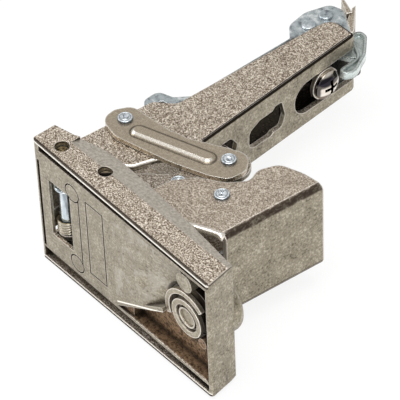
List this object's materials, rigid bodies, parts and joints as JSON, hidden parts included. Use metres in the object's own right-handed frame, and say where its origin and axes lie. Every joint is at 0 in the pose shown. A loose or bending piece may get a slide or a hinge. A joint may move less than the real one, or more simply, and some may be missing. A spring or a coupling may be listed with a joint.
{
  "type": "cabinet hinge",
  "caption": "Wide-angle cabinet hinge with a cast door block, seven-pivot linkage, slotted arm with depth screw and clip-on carriage.",
  "frame": {"origin": "middle of the door block's front face, which lies against the door", "axes": "+X along the door block towards the fixing disc, +Y into the cabinet, +Z along the hinge pins"},
  "size_m": [0.0736, 0.1074, 0.0428],
  "materials": {
    "cast_block": "nickel-plated zinc die casting, satin",
    "nickel_steel": "satin nickel plate",
    "zinc_rivet": "bright zinc plate",
    "pin_steel": "ground steel",
    "screw_nickel": "bright nickel plate",
    "zinc_plate": "clear zinc plate",
    "spring_steel": "plain spring steel",
    "fixing_nickel": "nickel plate"
  },
  "bodies": {
    "carriage": {"carriage": "zinc_plate", "clip_cheeks": "zinc_plate", "clip_rivets": "zinc_rivet", "catch": "nickel_steel", "release_pin": "pin_steel", "release_spring": "spring_steel", "cam_washer": "screw_nickel"},
    "depth_screw": {"depth_screw": "screw_nickel"},
    "release_lever": {"release_lever": "zinc_plate"},
    "arm": {"hinge_arm": "nickel_steel", "arm_rivet": "zinc_rivet", "lever_rivet": "pin_steel"},
    "cross_lever": {"cross_lever": "nickel_steel", "cross_rivet": "zinc_rivet", "outer_rivets": "zinc_rivet", "outer_bushes": "pin_steel"},
    "inner_lever": {"inner_lever": "nickel_steel"},
    "ribbed_links": {"ribbed_link_upper": "nickel_steel", "ribbed_link_lower": "nickel_steel", "link_rivets": "zinc_rivet"},
    "outer_link": {"outer_link": "nickel_steel"},
    "door_block": {"door_block": "cast_block", "door_pin": "pin_steel", "link_pin": "pin_steel", "closing_spring": "spring_steel", "fixing_ring": "fixing_nickel"},
    "fixing_disc": {"fixing_disc": "fixing_nickel"}
  },
  "joints": [
    {"name": "arm_slide", "type": "slide", "parent": "carriage", "child": "arm", "axis": [-0.0901, 0.9959, 0], "range_m": [-0.0025, 0.0015]},
    {"name": "depth_screw_turn", "type": "hinge", "parent": "carriage", "child": "depth_screw", "pos_m": [-0.01804, 0.08571, 0.0002], "axis": [0.9959, 0.0901, 0], "range_deg": [-226, 136]},
    {"name": "release_turn", "type": "hinge", "parent": "carriage", "child": "release_lever", "pos_m": [-0.0274, 0.0936, 0], "axis": [0, 0, 1], "range_deg": [0, 10], "stiffness_Nm_per_rad": 0.05},
    {"name": "fold", "type": "hinge", "parent": "arm", "child": "cross_lever", "pos_m": [-0.0348, 0.0131, 0], "axis": [0, 0, 1], "range_deg": [-113, 0], "stiffness_Nm_per_rad": 0.02},
    {"name": "inner_lever_turn", "type": "hinge", "parent": "cross_lever", "child": "inner_lever", "pos_m": [-0.0063, 0.0246, 0], "axis": [0, 0, 1], "range_deg": [0, 121.4]},
    {"name": "outer_link_turn", "type": "hinge", "parent": "cross_lever", "child": "outer_link", "pos_m": [0.00826, 0.0271, 0], "axis": [0, 0, 1], "range_deg": [0, 121.7]},
    {"name": "ribbed_link_turn", "type": "hinge", "parent": "arm", "child": "ribbed_links", "pos_m": [-0.0331, 0.0287, 0], "axis": [0, 0, 1], "range_deg": [-109, 0]},
    {"name": "door_block_turn", "type": "hinge", "parent": "inner_lever", "child": "door_block", "pos_m": [-0.02747, 0.00386, 0], "axis": [0, 0, 1], "range_deg": [-121.9, 0]},
    {"name": "fixing_turn", "type": "hinge", "parent": "door_block", "child": "fixing_disc", "pos_m": [0.0245, 0.008, 0], "axis": [0, 1, 0], "range_deg": [-90, 90]}
  ],
  "couplings": [
    {"joint": "depth_screw_turn", "follows": "arm_slide", "rad_per_m": 1570.8},
    {"joint": "inner_lever_turn", "follows": "fold", "ratio": -1.0702},
    {"joint": "outer_link_turn", "follows": "fold", "ratio": -1.073},
    {"joint": "ribbed_link_turn", "follows": "fold", "ratio": 0.9606},
    {"joint": "door_block_turn", "follows": "fold", "ratio": 1.0742}
  ]
}
